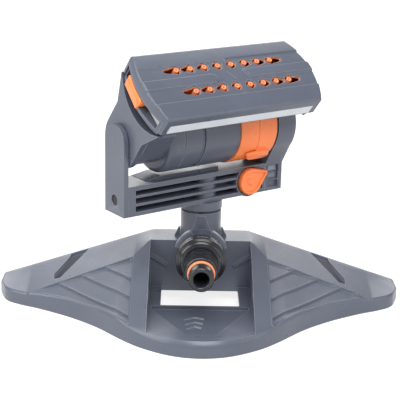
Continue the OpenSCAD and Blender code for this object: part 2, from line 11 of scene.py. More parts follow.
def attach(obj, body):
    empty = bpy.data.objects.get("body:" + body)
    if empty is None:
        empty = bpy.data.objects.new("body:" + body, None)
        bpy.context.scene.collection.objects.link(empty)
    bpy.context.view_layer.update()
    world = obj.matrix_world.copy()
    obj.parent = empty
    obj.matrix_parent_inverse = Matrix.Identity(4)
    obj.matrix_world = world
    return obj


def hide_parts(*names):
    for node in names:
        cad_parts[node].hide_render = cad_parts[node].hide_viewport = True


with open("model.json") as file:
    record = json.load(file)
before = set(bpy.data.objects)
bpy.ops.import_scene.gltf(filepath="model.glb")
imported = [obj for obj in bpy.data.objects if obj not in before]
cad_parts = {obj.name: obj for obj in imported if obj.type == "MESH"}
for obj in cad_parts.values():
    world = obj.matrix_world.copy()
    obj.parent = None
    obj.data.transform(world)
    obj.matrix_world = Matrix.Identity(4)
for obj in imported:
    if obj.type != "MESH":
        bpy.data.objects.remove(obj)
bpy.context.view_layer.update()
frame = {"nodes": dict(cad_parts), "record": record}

# ---------------------------------------------------------------- frames, in millimetres

MM = 0.001
joints = {j["name"]: j for j in frame["record"]["behaviour"]["joints"]}
swing = joints["head_swing"]
barrel_axis = Vector(swing["axis"]).normalized()
YAW = math.atan2(barrel_axis.y, barrel_axis.x)
AXIS_Z = swing["pos_m"][2] / MM
TILT = math.radians(38.6)

INLET_Z = 33
KNOB_X, KNOB_Z = 26.6, 67.6


def shifted(x=0.0, y=0.0, z=0.0):
    """A matrix that moves by that much."""
    return Matrix.Translation((x, y, z))


def turned(axis, degrees=90):
    """A matrix that turns about X, Y or Z."""
    return Matrix.Rotation(math.radians(degrees), 4, axis)


WORLD = Matrix.Scale(MM, 4)
INLET = WORLD @ shifted(z=INLET_Z) @ turned("X")
YOKE = WORLD @ Matrix.Rotation(YAW, 4, "Z")
KNOB = YOKE @ shifted(KNOB_X, 0, KNOB_Z) @ turned("X")
HEAD = YOKE @ shifted(z=AXIS_Z) @ Matrix.Rotation(TILT, 4, "X")
BARREL = HEAD @ turned("Y")

body_of = {node: body for body, nodes in frame["record"]["behaviour"]["bodies"].items() for node in nodes}


# ---------------------------------------------------------------- materials

def linear(srgb):
    """An sRGB colour of 0 to 255 as linear RGBA."""
    return [((c / 255 + 0.055) / 1.055) ** 2.4 if c > 10 else c / 255 / 12.92 for c in srgb] + [1]


BLOTCH, BLOTCH_SIZE = 0.05, 24
GLOSS_SIZE, GLOSS_LOW, GLOSS_HIGH = 9, 0.03, 0.04
# radius and full strength of the paler edge tint, which is partly rubbed wear and partly a painted highlight
EDGE_RUB_AND_HIGHLIGHT_RADIUS, EDGE_RUB_AND_HIGHLIGHT_FULL = 0.45, 0.86
GRAIN_DEPTH = 0.05


def moulded(name, colour, rub_and_highlight_colour, rough, grain=0.12, cell=0.35, metallic=0.0, rub_and_highlight_amount=0.45):
    """Moulded plastic, rubber or metal: uneven colour and gloss, fine grain, and edges painted paler, partly
    as rubbed wear and partly as a painted highlight.
    """
    mat = bpy.data.materials.new(name)
    mat.use_nodes = True
    nodes, links = mat.node_tree.nodes, mat.node_tree.links
    shader = nodes["Principled BSDF"]
    shader.inputs["Metallic"].default_value = metallic
    place = nodes.new("ShaderNodeTexCoord")

    def noise(size_mm, detail):
        n = nodes.new("ShaderNodeTexNoise")
        n.inputs["Scale"].default_value = 1 / (size_mm * MM)
        n.inputs["Detail"].default_value = detail
        links.new(place.outputs["Object"], n.inputs["Vector"])
        return n.outputs["Fac"]

    def remap(value, low, high, a, b):
        m = nodes.new("ShaderNodeMapRange")
        m.inputs["From Min"].default_value = low
        m.inputs["From Max"].default_value = high
        m.inputs["To Min"].default_value = a
        m.inputs["To Max"].default_value = b
        links.new(value, m.inputs["Value"])
        return m.outputs["Result"]

    def mix(factor, a, b):
        m = nodes.new("ShaderNodeMix")
        m.data_type = "RGBA"
        links.new(factor, m.inputs["Factor"])
        for socket, c in ((m.inputs["A"], a), (m.inputs["B"], b)):
            if isinstance(c, bpy.types.NodeSocket):
                links.new(c, socket)
            else:
                socket.default_value = c
        return m.outputs["Result"]

    # broad unevenness of the moulding
    base = linear(colour)
    dark = [c * (1 - BLOTCH) for c in base[:3]] + [1]
    pale = [min(1, c * (1 + BLOTCH)) for c in base[:3]] + [1]
    tone = mix(remap(noise(BLOTCH_SIZE, 3), 0.35, 0.65, 0, 1), dark, pale)

    # edges, where the rounded normal leaves the flat one, are painted paler: partly rubbed wear, partly a
    # painted highlight along each edge
    soft = nodes.new("ShaderNodeBevel")
    soft.samples = 8
    soft.inputs["Radius"].default_value = EDGE_RUB_AND_HIGHLIGHT_RADIUS * MM
    flat = nodes.new("ShaderNodeNewGeometry")
    dot = nodes.new("ShaderNodeVectorMath")
    dot.operation = "DOT_PRODUCT"
    links.new(soft.outputs["Normal"], dot.inputs[0])
    links.new(flat.outputs["Normal"], dot.inputs[1])
    edge = remap(dot.outputs["Value"], 1.0, EDGE_RUB_AND_HIGHLIGHT_FULL, 0, rub_and_highlight_amount)
    tone = mix(edge, tone, linear(rub_and_highlight_colour))
    links.new(tone, shader.inputs["Base Color"])

    gloss = remap(noise(GLOSS_SIZE, 1), 0.3, 0.7, rough - GLOSS_LOW, rough + GLOSS_HIGH)
    links.new(gloss, shader.inputs["Roughness"])
    bump = nodes.new("ShaderNodeBump")
    bump.inputs["Strength"].default_value = grain
    bump.inputs["Distance"].default_value = GRAIN_DEPTH * MM
    links.new(noise(cell, 1), bump.inputs["Height"])
    links.new(bump.outputs["Normal"], shader.inputs["Normal"])
    return mat


# the second colour of each is its paler edge tint, partly rubbed wear and partly a painted highlight
MATERIALS = {
    "body_plastic": moulded("slate plastic", (84, 89, 102), (172, 178, 190), 0.3, grain=0.0, rub_and_highlight_amount=0.5),
    "dark_plastic": moulded("charcoal plastic", (37, 38, 43), (92, 96, 104), 0.22, grain=0.03),
    "orange_plastic": moulded("orange plastic", (248, 130, 66), (255, 190, 146), 0.3, grain=0.03),
    "orange_rubber": moulded("orange rubber", (228, 140, 94), (244, 178, 142), 0.5, cell=0.6),
    "silver_trim": moulded("silver trim", (202, 206, 210), (214, 216, 218), 0.42, rub_and_highlight_amount=0.3),
    "screw_steel": moulded("blackened screw", (24, 24, 27), (70, 70, 74), 0.35, metallic=0.3),
}


# ---------------------------------------------------------------- curves and stations

def ramp(x, x0, x1, a=0.0, b=1.0):
    """A straight rise from a at x0 to b at x1, flat outside."""
    return a + (b - a) * min(1, max(0, (x - x0) / (x1 - x0)))


def ease(x, x0, x1, a=0.0, b=1.0):
    """The same rise with soft ends."""
    t = ramp(x, x0, x1)
    return a + (b - a) * t * t * (3 - 2 * t)


def broken_line(points, x):
    """Height at x of the straight lines through the points."""
    for (x0, v0), (x1, v1) in zip(points, points[1:]):
        if x <= x1:
            return ramp(x, x0, x1, v0, v1)
    return points[-1][1]


def smooth_line(p, x):
    """The smooth curve that part.scad draws through the same points."""
    i = next((k for k in range(len(p) - 1) if x <= p[k + 1][0]), len(p) - 2)

    def slope(k):
        if k == 0:
            return 0
        a, b = p[k - 1], p[min(k + 1, len(p) - 1)]
        return (b[1] - a[1]) / (b[0] - a[0])
    w = p[i + 1][0] - p[i][0]
    t = (x - p[i][0]) / w
    return (p[i][1] * (1 - t) ** 2 * (1 + 2 * t) + p[i + 1][1] * t * t * (3 - 2 * t)
            + w * (slope(i) * t * (1 - t) ** 2 - slope(i + 1) * t * t * (1 - t)))


def spaced(a, b, step):
    """Even stations from a up to, but without, b."""
    n = max(1, round((b - a) / step))
    return [a + (b - a) * i / n for i in range(n)]


def mirrored(half):
    """Stations from 0 outwards, on both sides of 0."""
    return [-h for h in reversed(half[1:])] + half


# ---------------------------------------------------------------- mesh building, in millimetres

def loft(rings):
    """A closed mesh through rings of equal length."""
    bm = bmesh.new()
    rows = [[bm.verts.new(p) for p in ring] for ring in rings]
    for a, b in zip(rows, rows[1:]):
        for i in range(len(a)):
            j = (i + 1) % len(a)
            bm.faces.new((a[i], a[j], b[j], b[i]))
    bm.faces.new(rows[0][::-1])
    bm.faces.new(rows[-1])
    bmesh.ops.recalc_face_normals(bm, faces=bm.faces)
    return bm


def prism_x(outline, x0, x1):
    """A prism along X with an outline of (y, z)."""
    return loft([[(x, y, z) for y, z in outline] for x in (x0, x1)])


def prism_z(outline, z0, z1):
    """A prism along Z with an outline of (x, y)."""
    return loft([[(x, y, z) for x, y in outline] for z in (z0, z1)])


def box(x0, x1, y0, y1, z0, z1):
    """A box between those limits."""
    return prism_z([(x0, y0), (x1, y0), (x1, y1), (x0, y1)], z0, z1)


def lathe(profile, steps=96):
    """A closed profile of (radius, z) turned round Z."""
    bm = bmesh.new()
    rows = []
    for s in range(steps):
        a = 2 * math.pi * s / steps
        rows.append([bm.verts.new((r * math.cos(a), r * math.sin(a), z)) for r, z in profile])
    for s in range(steps):
        a, b = rows[s], rows[(s + 1) % steps]
        for i in range(len(profile)):
            j = (i + 1) % len(profile)
            bm.faces.new((a[i], b[i], b[j], a[j]))
    bmesh.ops.remove_doubles(bm, verts=bm.verts, dist=1e-5)
    bmesh.ops.recalc_face_normals(bm, faces=bm.faces)
    return bm


def arc(cx, cy, r, a0, a1, n=8):
    """Points on an arc, in degrees."""
    return [(cx + r * math.cos(math.radians(a0 + (a1 - a0) * i / n)),
             cy + r * math.sin(math.radians(a0 + (a1 - a0) * i / n))) for i in range(n + 1)]


def rounded(points, radius, n=6):
    """A closed outline with each corner turned into an arc of that radius."""
    out = []
    count = len(points)
    for i, p in enumerate(points):
        p = Vector(p)
        a, b = Vector(points[i - 1]) - p, Vector(points[(i + 1) % count]) - p
        la, lb = a.length, b.length
        a.normalize()
        b.normalize()
        half = math.acos(max(-1, min(1, a.dot(b)))) / 2
        if half > math.radians(89.5):
            out.append(tuple(p))
            continue
        back = min(radius / math.tan(half), la * 0.49, lb * 0.49)
        r = back * math.tan(half)
        centre = p + (a + b).normalized() * (r / math.sin(half))
        s, e = p + a * back - centre, p + b * back - centre
        turn = math.atan2(s.x * e.y - s.y * e.x, s.dot(e))
        for k in range(n + 1):
            out.append(tuple(centre + Matrix.Rotation(turn * k / n, 2) @ s))
    return out


def drop(r, tip_r, length, n=12):
    """A teardrop round the origin, with its narrow end along +X."""
    b = math.degrees(math.acos((r - tip_r) / length))
    return arc(0, 0, r, b, 360 - b, 2 * n) + arc(length, 0, tip_r, -b, b, n)


def level(points, z):
    """Points of (x, y) laid at height z."""
    return [(x, y, z) for x, y in points]


def both(make):
    """A shape and its mirror image about X = 0."""
    other = make()
    bmesh.ops.scale(other, vec=(-1, 1, 1), verts=other.verts)
    bmesh.ops.recalc_face_normals(other, faces=other.faces)
    return [make(), other]


def rod(r, z0, z1, x=0, steps=96):
    """An upright cylinder at x on the X axis."""
    return prism_z([(x + r * math.cos(2 * math.pi * i / steps), r * math.sin(2 * math.pi * i / steps))
                    for i in range(steps)], z0, z1)


def moved(bm, matrix):
    """The same shape, put through a matrix."""
    bm.transform(matrix)
    return bm


def bead(points, width, height, sink=0.4):
    """A low rounded rib along a line of (x, y, z) points."""
    pts = [Vector(p) for p in points]
    rings = []
    for i, p in enumerate(pts):
        d = (pts[min(i + 1, len(pts) - 1)] - pts[max(i - 1, 0)]).normalized()
        side = d.cross(Vector((0, 0, 1))).normalized()
        rings.append([p + side * width * c + Vector((0, 0, h)) for c, h in
                      ((-0.5, -sink), (-0.5, 0), (-0.28, height * 0.8), (0, height), (0.28, height * 0.8),
                       (0.5, 0), (0.5, -sink))])
    return loft(rings)


def as_object(bm, name="cutter"):
    """A new object in the scene that takes over the bmesh."""
    mesh = bpy.data.meshes.new(name)
    bm.to_mesh(mesh)
    bm.free()
    obj = bpy.data.objects.new(name, mesh)
    bpy.context.collection.objects.link(obj)
    return obj


def combine(target, tools, operation="DIFFERENCE"):
    """The bmesh target cut by, or joined with, each bmesh in tools."""
    obj = as_object(target)
    for tool in tools:
        other = as_object(tool)
        mod = obj.modifiers.new("combine", "BOOLEAN")
        mod.operation = operation
        mod.solver = "EXACT"
        mod.object = other
        mesh = bpy.data.meshes.new_from_object(obj.evaluated_get(bpy.context.evaluated_depsgraph_get()))
        obj.modifiers.clear()
        obj.data = mesh
        bpy.data.objects.remove(other)
    bm = bmesh.new()
    bm.from_mesh(obj.data)
    bpy.data.objects.remove(obj)
    bmesh.ops.remove_doubles(bm, verts=bm.verts, dist=0.004)
    return bm


def cut(target, *tools):
    """The target with each tool taken away."""
    return combine(target, tools)


def joined(target, *tools):
    """The target with each tool added."""
    return combine(target, tools, "UNION")


# ---------------------------------------------------------------- finished pieces

EDGE_ROUND, EDGE_SEGMENTS, EDGE_ANGLE = 0.25, 2, 38
SAME_POINT, SAME_FACE = 2e-6, math.radians(0.4)


def cad_mesh(node):
    """A CAD node's own mesh in metres, with its flat faces whole again."""
    bm = bmesh.new()
    bm.from_mesh(frame["nodes"][node].data)
    bmesh.ops.remove_doubles(bm, verts=bm.verts, dist=SAME_POINT)
    bmesh.ops.dissolve_limit(bm, angle_limit=SAME_FACE, verts=bm.verts, edges=bm.edges)
    return bm


def cad_shape(node, place=WORLD):
    """A CAD node's own shape in the millimetres of one of the frames above."""
    bm = moved(cad_mesh(node), WORLD.inverted())
    return bm if place is WORLD else moved(bm, (WORLD.inverted() @ place).inverted())


def finished(name, bm, node, slot, bevel, angle, stands_for=True):
    """A mesh in metres with rounded edges and a material, riding with a CAD node's body."""
    obj = as_object(bm, name)
    obj.data.shade_smooth()
    obj.data.set_sharp_from_angle(angle=math.radians(angle))
    if bevel:
        mod = obj.modifiers.new("rounded edges", "BEVEL")
        mod.width = bevel * MM
        mod.segments = EDGE_SEGMENTS
        mod.limit_method = "ANGLE"
        mod.angle_limit = math.radians(angle)
        mod.harden_normals = True
    obj.data.materials.append(MATERIALS[slot])
    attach(obj, body_of[node])
    if stands_for:
        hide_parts(node)


def piece(name, bm, place, node, slot, bevel=EDGE_ROUND, angle=EDGE_ANGLE, stands_for=True):
    """Makes a shape in the millimetres of one frame into a finished piece."""
    bm.transform(place)
    bmesh.ops.recalc_face_normals(bm, faces=bm.faces)
    finished(name, bm, node, slot, bevel, angle, stands_for)


def refined(node, slot):
    """Makes a CAD node's own shape into a finished piece."""
    finished(node + "_skin", cad_mesh(node), node, slot, EDGE_ROUND, EDGE_ANGLE)


# ---------------------------------------------------------------- base shell

HALF, BACK_Y, CREST_Z, WALL = 115, 12, 36.6, 2.4
WELL_X, BAND_X, RIDGE_END = 28.4, 37.6, 97.7
RIDGE_IN, RIDGE_OUT = (-14.8, 28.7), (-21.2, 7.8)    # (y, z) of the ridge at BAND_X and at RIDGE_END
WELL_BACK, FLOOR_Z = -8.2, 8.3
LIP, LIP_Z = 4.8, 8.75
POCKET_R = 11.7
WINDOW_X, WINDOW_FRONT = 21.8, -36.3
SUNK_X, SUNK_FRONT, SUNK_BACK = 26.6, -76, -37.4
PLANK_START, PLANK_PITCH = 70, 14.4
PLANK_SINK, PLANK_SLOPE, PLANK_EDGE = 0.5, 0.9, 0.045
PLANKS = range(-1, 3)
PLANKS_FADE, PLANKS_END, PLANKS_BACK = 86, 96, -12
END_ROUND = 1.5
COLLAR_FOOT, SCREW_X = 13.6, 8.4
FRONT = [(0, -87.2), (15.3, -84.3), (31.1, -75.1), (41.8, -65.1), (56.2, -49.2), (72, -36.1), (90.4, -24.6),
         (101.9, -18.9), (110.5, -12), (HALF, -0.4)]
RIM = [(0, 8.8), (28, 8.8), (38, 9.4), (45, 11), (72, 10.6), (90, 8.9), (RIDGE_END, 7.8), (HALF, 7.6)]


def front_edge(a):
    """Y of the front edge; a is the distance from the middle here and below."""
    return smooth_line(FRONT, a)


def ridge(a):
    """(y, z) of the line where the front slope meets the back."""
    if a <= BAND_X:
        return ramp(a, WELL_X, BAND_X, WELL_BACK, RIDGE_IN[0]), ramp(a, WELL_X, BAND_X, CREST_Z, RIDGE_IN[1])
    if a <= RIDGE_END:
        return tuple(ramp(a, BAND_X, RIDGE_END, v0, v1) for v0, v1 in zip(RIDGE_IN, RIDGE_OUT))
    return front_edge(a) + 0.5, broken_line(RIM, a)


def back_height(a):
    """Height of the roof at the back edge."""
    return min(CREST_Z, 7.7 + 0.33 * (HALF - a))


def edge_round(a):
    """Radius of the rounded rim, widest at the front lip."""
    return ease(a, 18, 44, 4.6, 1.5)


def plank_depth(a, y):
    """How far the boarded side panel lies under the plain roof."""
    within = (ramp(a, BAND_X + 0.2, BAND_X + 0.8) * ramp(ridge(a)[0] - y, 0.3, 0.9)
              * ramp(y - front_edge(a), 1.2, 2.2) * ramp(a, PLANKS_FADE, PLANKS_END, 1, 0))
    along = (a - y - PLANK_START) / PLANK_PITCH % 1
    flat = 1 - PLANK_EDGE
    return within * (PLANK_SINK + PLANK_SLOPE * (1 - along if along < flat else (along - flat) / PLANK_EDGE))


def roof(x, y, detail=1.0):
    """Height of the outer surface, with the rounded rim and the boards when detail is 1."""
    a = abs(x)
    f, rim_z = front_edge(a), broken_line(RIM, a)
    ridge_y, ridge_z = ridge(a)
    z = (ramp(y, f, max(f + 0.1, ridge_y), rim_z, ridge_z) if y < ridge_y
         else ramp(y, ridge_y, BACK_Y, ridge_z, back_height(a)))
    r = edge_round(a)
    t = min(r, max(0, y - f), max(0, HALF - a))
    return z - detail * (r - math.sqrt(max(0, r * r - (r - t) ** 2)) + plank_depth(a, y))


def base_section(x):
    """Outline of the base across X at x."""
    a = abs(x)
    f, r = front_edge(a), edge_round(a)
    ridge_y = max(ridge(a)[0], f + r + 1.5)
    ys = [f + r * (1 - math.cos(math.pi / 2 * k / 6)) for k in range(7)]
    start = ys[-1]
    ys += [start + (ridge_y - 0.9 - start) * k / 22 for k in range(1, 23)] + [ridge_y - 0.3, ridge_y]
    ys += [ridge_y + (BACK_Y - 1.6 - ridge_y) * k / 10 for k in range(1, 11)]
    top = [(x, y, roof(x, y)) for y in ys]
    edge, foot = Vector((BACK_Y, roof(x, BACK_Y))), Vector((BACK_Y + 0.75 * back_height(a), 2.5))
    before, after = Vector((ys[-1], top[-1][2])), edge + (foot - edge).normalized() * 1.6
    bend = [before * (1 - t) ** 2 + edge * 2 * t * (1 - t) + after * t * t for t in (0.25, 0.5, 0.75, 1)]
    return ([(x, f, 0)] + top + [(x, q.x, q.y) for q in bend]
            + [(x, *(after + (foot - after) * k / 4)) for k in (1, 2, 3, 4)] + [(x, foot.x, 0)])


def inner_section(x):
    """Outline of the hollow under the roof at x."""
    a = abs(x)
    f = front_edge(a) + WALL * 1.4
    ridge_y, ridge_z = ridge(a)
    h = back_height(a)
    foot = BACK_Y + 0.75 * h - WALL * 1.3
    return [(x, f, -1), (x, f, broken_line(RIM, a) - WALL * 0.6),
            (x, max(f + 0.1, ridge_y), ridge_z - WALL - 0.6),
            (x, BACK_Y - WALL * 0.3, h - WALL), (x, foot, 2.5), (x, foot, -1)]


def panel_lines(side):
    """The thin raised lines along the boards, the ridge and the panel's inner edge."""
    def on_roof(a, y):
        sink = PLANK_SINK * (a > BAND_X + 0.5)
        return side * a, y, roof(a, y, 0) - sink
    along_ridge = [BAND_X + (RIDGE_END - BAND_X) * k / 24 for k in range(25)]
    yield [(side * a, ridge(a)[0], ridge(a)[1] - 0.05) for a in along_ridge]
    front = front_edge(BAND_X)
    along_band = [front + 2.4 + (ridge(BAND_X)[0] - front - 2.6) * k / 12 for k in range(13)]
    yield [(side * (BAND_X + 0.3), y, roof(BAND_X, y, 0) - 0.05) for y in along_band]
    for k in PLANKS:
        at = PLANK_START + k * PLANK_PITCH
        span = [a for a in (BAND_X + 0.4 + 0.25 * j for j in range(240))
                if front_edge(a) + 2.2 < a - at < ridge(a)[0] - 0.4 and a < 88]
        if len(span) > 24:
            yield [on_roof(a, a - at) for a in span[::12] + [span[-1]]]


def carve_boards(shell):
    """Cuts the boards' edges into the mesh, then lays the roof on them again."""
    for side in (-1, 1):
        for k in PLANKS:
            for shift in (-PLANK_EDGE, 0):
                at = PLANK_START + (k + shift) * PLANK_PITCH
                faces = [g for g in shell.faces if g.calc_center_median().x * side > BAND_X
                         and g.normal.z > 0.2 and g.calc_center_median().y < PLANKS_BACK]
                verts = list({v for g in faces for v in g.verts})
                edges = list({e for g in faces for e in g.edges})
                bmesh.ops.bisect_plane(shell, geom=verts + edges + faces, dist=1e-4,
                                       plane_co=(side * at, 0, 0),
                                       plane_no=Vector((side, -1, 0)).normalized())
    for v in shell.verts:
        a = abs(v.co.x)
        if BAND_X < a < PLANKS_END and front_edge(a) + 1.6 < v.co.y < ridge(a)[0] - 0.2 and v.co.z > 4:
            v.co.z = roof(v.co.x, v.co.y)


def base_hollow():
    """The room under the roof, round the well."""
    inner = loft([inner_section(x) for x in mirrored(spaced(0, HALF - WALL, 3) + [HALF - WALL])])
    far, well = HALF + 10, WELL_X + WALL
    room = joined(box(-far, -well, -far, far, -2, CREST_Z), box(well, far, -far, far, -2, CREST_Z),
                  box(-well - 1, well + 1, WELL_BACK + WALL, far, -2, CREST_Z),
                  box(-well - 1, well + 1, -far, WELL_BACK + WALL + 1, -2, FLOOR_Z - WALL))
    return combine(inner, [room], "INTERSECT")


def sunk_z(y):
    """Height of the sunk floor, which falls towards the window."""
    return FLOOR_Z - ramp(y, SUNK_FRONT, SUNK_BACK, 0.6, 2.1)


def sunk_floor():
    """The cutter for the sunk floor behind the front lip."""
    plan = [(-SUNK_X, SUNK_BACK), (SUNK_X, SUNK_BACK), (SUNK_X, -41.5), (8, SUNK_FRONT), (-8, SUNK_FRONT),
            (-SUNK_X, -41.5)]
    return loft([[(x, y, sunk_z(y)) for x, y in plan], [(x * 1.015, y, FLOOR_Z + 1) for x, y in plan]])


def arrow_ribs():
    """Three arrow ribs on the sunk floor, narrower towards the front."""
    for k, y in enumerate((-50, -56.8, -63.2)):
        z, wide = sunk_z(y), 5.2 - 0.8 * k
        left = [(-3.4 - wide + wide * t, y - 3.4 + 3.4 * t, z) for t in (0, 0.5, 0.92)]
        yield bead(left + [(-3.0 + wide * t, y - 2.2 * t, z) for t in (0.08, 0.5, 1)], 1.0, 0.7)


def gusset():
    """A fin on top, beside the stem."""
    fin = [(POCKET_R - 0.1, CREST_Z - 0.6), (POCKET_R + 3.3, CREST_Z - 0.6), (POCKET_R + 3.1, CREST_Z + 0.4),
           (POCKET_R + 0.9, CREST_Z + 5.4), (POCKET_R - 0.1, CREST_Z + 5.4)]
    return moved(prism_z(fin, -1.2, 1.2), turned("X"))


def brace():
    """A small slanted rib across a back corner of the well."""
    return loft([[(x, y, z) for x, z in ((18.5, 23.2), (28.6, 29.4), (28.6, 27.2), (19.6, 21.6))]
                 for y in (WELL_BACK - 1.6, WELL_BACK + 0.5)])


def wing_slot():
    """The cutter for the long window through a wing."""
    slot = [(64.5, 10.4), (75.2, 10.4), (75.6, 7), (83.3, -8), (82.8, -14.5), (79, -14.5)]
    return prism_z(rounded(slot, 0.7), 4, 60)


def make_base():
    """The winged base: outer skin, hollow underside, well, collar, branch pocket and windows."""
    half = (spaced(0, WELL_X, 1.9) + spaced(WELL_X, BAND_X, 1.5) + [BAND_X, BAND_X + 0.2, BAND_X + 0.8]
            + spaced(BAND_X + 1.6, 110, 1.2) + spaced(110, HALF - END_ROUND, 0.5)
            + [HALF - END_ROUND * (1 - math.cos(math.pi / 2 * k / 6)) for k in range(6, -1, -1)])
    shell = loft([base_section(x) for x in mirrored(half)])
    carve_boards(shell)
    mouth = [(x, front_edge(abs(x)) + LIP) for x in mirrored(spaced(0, WELL_X, 1.5) + [WELL_X])]
    well = mouth + [(WELL_X, WELL_BACK), (-WELL_X, WELL_BACK)]
    shell = cut(shell, base_hollow(), box(-WELL_X, WELL_X, -2 * HALF, WELL_BACK, LIP_Z, CREST_Z + 5),
                prism_z(well, FLOOR_Z, CREST_Z))
    lines = [bead(line, 0.85, 0.3, 0.9) for side in (-1, 1) for line in panel_lines(side)]
    shell = cut(joined(shell, *lines), sunk_floor())
    collar = combine(rod(POCKET_R + WALL, COLLAR_FOOT, CREST_Z - 1),
                     [box(-20, 20, WELL_BACK, 20, 0, CREST_Z)], "INTERSECT")
    shell = joined(shell, collar, *both(gusset), *both(brace))
    branch = moved(rod(POCKET_R, 0, 20), shifted(z=INLET_Z) @ turned("X"))
    window = prism_z(rounded([(-WINDOW_X, WINDOW_FRONT), (WINDOW_X, WINDOW_FRONT), (WINDOW_X, WELL_BACK),
                              (-WINDOW_X, WELL_BACK)], 0.8), -1, FLOOR_Z + 1)
    stem_room = box(-POCKET_R, POCKET_R, -20, 0, INLET_Z, CREST_Z + 8)
    shell = cut(shell, rod(POCKET_R, 16, CREST_Z + 8), branch, stem_room, window, *both(wing_slot),
                *both(lambda: rod(1.7, -1, 17, SCREW_X)), *both(lambda: rod(3.2, -1, COLLAR_FOOT, SCREW_X)))
    for rib in arrow_ribs():
        shell = joined(shell, rib)
    return shell


piece("base_moulding", make_base(), WORLD, "base_shell", "body_plastic", bevel=0.3, angle=42)


# ---------------------------------------------------------------- spray plate

PLATE_X, PLATE_HALF, PLATE_SIDE, PLATE_BULGE = -2.7, 51, 22, 4.6
PLATE_H, PLATE_CROWN, PLATE_T, SKIRT_Z = 42.7, 2.5, 2.4, 31.6
END_R = (PLATE_SIDE ** 2 + PLATE_BULGE ** 2) / (2 * PLATE_BULGE)
CROWN_R = (PLATE_SIDE ** 2 + PLATE_CROWN ** 2) / (2 * PLATE_CROWN)
TRAY_X = (-50.5, 45.1)
NOZZLE_PITCH, ROW_X, ROW_Y = 8.9, (2.2, -2.5), (-6.6, 8.2)
SLOT_R, SLOT_TIP_R, SLOT_END = 2.6, 1.5, (3.4, 4.6, 5.8, 8.0)
LEFT_DEPTH, RIGHT_DEPTH = 0.55, 0.9
CENTRE_STEP = [(-12, 0.8), (-2.5, 0.1), (3.3, -3.6), (13.4, 0.5)]
PLATE_ROUND, PLATE_SHARES = 1.1, 110
LINING_FOOT, NOZZLE_TIP = 42.4, 44.4
TRAY_HALF, TRAY_TOP = 19.9, 38.6
NOZZLES = [(row, i) for row in (0, 1) for i in range(8)]


def end_x(y, side, inset=0.0):
    """Where the plate's curved end lies at y."""
    return PLATE_X + side * (PLATE_HALF + PLATE_BULGE - END_R - inset + math.sqrt(END_R ** 2 - y * y))


def crown_z(y, below=0.0):
    """Height of the plate's crown at y, or of a surface that far below it."""
    return PLATE_H + PLATE_CROWN - CROWN_R + math.sqrt((CROWN_R - below) ** 2 - y * y)


def plate_outline(inset=0.0, steps=40):
    """Plan of the plate, with its curved ends."""
    s = PLATE_SIDE - inset
    ys = [-s + 2 * s * k / steps for k in range(steps + 1)]
    return [(end_x(y, 1, inset), y) for y in ys] + [(end_x(y, -1, inset), y) for y in reversed(ys)]


def inside(x, y, x0, x1, y0, y1, r):
    """How far a point lies inside a rectangle with round corners, as 0 outside to 1 within."""
    qx = abs(x - (x0 + x1) / 2) - (x1 - x0) / 2 + r
    qy = abs(y - (y0 + y1) / 2) - (y1 - y0) / 2 + r
    return ease(r - min(max(qx, qy), 0) - math.hypot(max(qx, 0), max(qy, 0)), -0.25, 0.25)


def relief(x, y):
    """Depth of the two stepped recesses round the nozzle rows."""
    across = x - broken_line(CENTRE_STEP, y)
    left = inside(across, y, -80, 0, -12, 11, 1.2) - inside(x, y, -80, -12, -3.5, 2.5, 2.9)
    right = inside(across, y, 0, 80, -12, 12.5, 1.2) - inside(x + 0.5 * y, y, 8.5, 80, -2.6, 3.5, 1.0)
    return LEFT_DEPTH * left + RIGHT_DEPTH * right


def graded(low, high, step, rim=PLATE_ROUND):
    """Stations from low to high, closer together along both rims."""
    edge = [rim * k for k in (0, 0.1, 0.3, 0.6, 1)]
    return ([low + e for e in edge] + [low + rim + v for v in spaced(0, high - low - 2 * rim, step)[1:]]
            + [high - e for e in reversed(edge)])


def nozzle_place(row, i):
    """(x, y) of a nozzle on the plate."""
    return ROW_X[row] + (i - 3.5) * NOZZLE_PITCH, ROW_Y[row]


def slot_top(row, i):
    """Height of the plate's surface round a spray slot."""
    return crown_z(ROW_Y[row]) - (LEFT_DEPTH if i < 4 else RIGHT_DEPTH)


def teardrop(row, i, grow=0.0):
    """Outline of one spray slot: a round end at the nozzle, a narrow end away from the middle."""
    x, y = nozzle_place(row, i)
    side = -1 if i < 4 else 1
    length = SLOT_END[int(abs(i - 3.5))] - SLOT_TIP_R
    return [(x + side * u, y + v) for u, v in drop(SLOT_R + grow, SLOT_TIP_R + grow, length)]


def plate_blank():
    """The plate as a solid, with its stepped crown and rounded rim."""
    bm = bmesh.new()
    rows = []
    for y in graded(-PLATE_SIDE, PLATE_SIDE, 0.36):
        x0, x1 = end_x(y, -1), end_x(y, 1)
        row = []
        for s in graded(0, PLATE_SHARES, 0.42):
            x = x0 + (x1 - x0) * s / PLATE_SHARES
            t = min(PLATE_ROUND, x - x0, x1 - x, PLATE_SIDE - abs(y))
            fall = PLATE_ROUND - math.sqrt(max(0, PLATE_ROUND ** 2 - (PLATE_ROUND - t) ** 2))
            row.append(bm.verts.new((x, y, crown_z(y) - relief(x, y) - fall)))
        rows.append(row)
    for a, b in zip(rows, rows[1:]):
        for k in range(len(a) - 1):
            bm.faces.new((a[k], a[k + 1], b[k + 1], b[k]))
    rim = rows[0] + [r[-1] for r in rows[1:-1]] + rows[-1][::-1] + [r[0] for r in rows[-2:0:-1]]
    foot = [bm.verts.new((v.co.x, v.co.y, SKIRT_Z)) for v in rim]
    for k in range(len(rim)):
        j = (k + 1) % len(rim)
        bm.faces.new((rim[j], rim[k], foot[k], foot[j]))
    bm.faces.new(foot[::-1])
    bmesh.ops.recalc_face_normals(bm, faces=bm.faces)
    return bm


def slot_cutter(row, i):
    """One spray slot, flared at the surface."""
    top, fine, wide = slot_top(row, i), teardrop(row, i), teardrop(row, i, 0.4)
    return loft([level(fine, 30), level(fine, top - 0.5), level(wide, top + 0.05), level(wide, 50)])


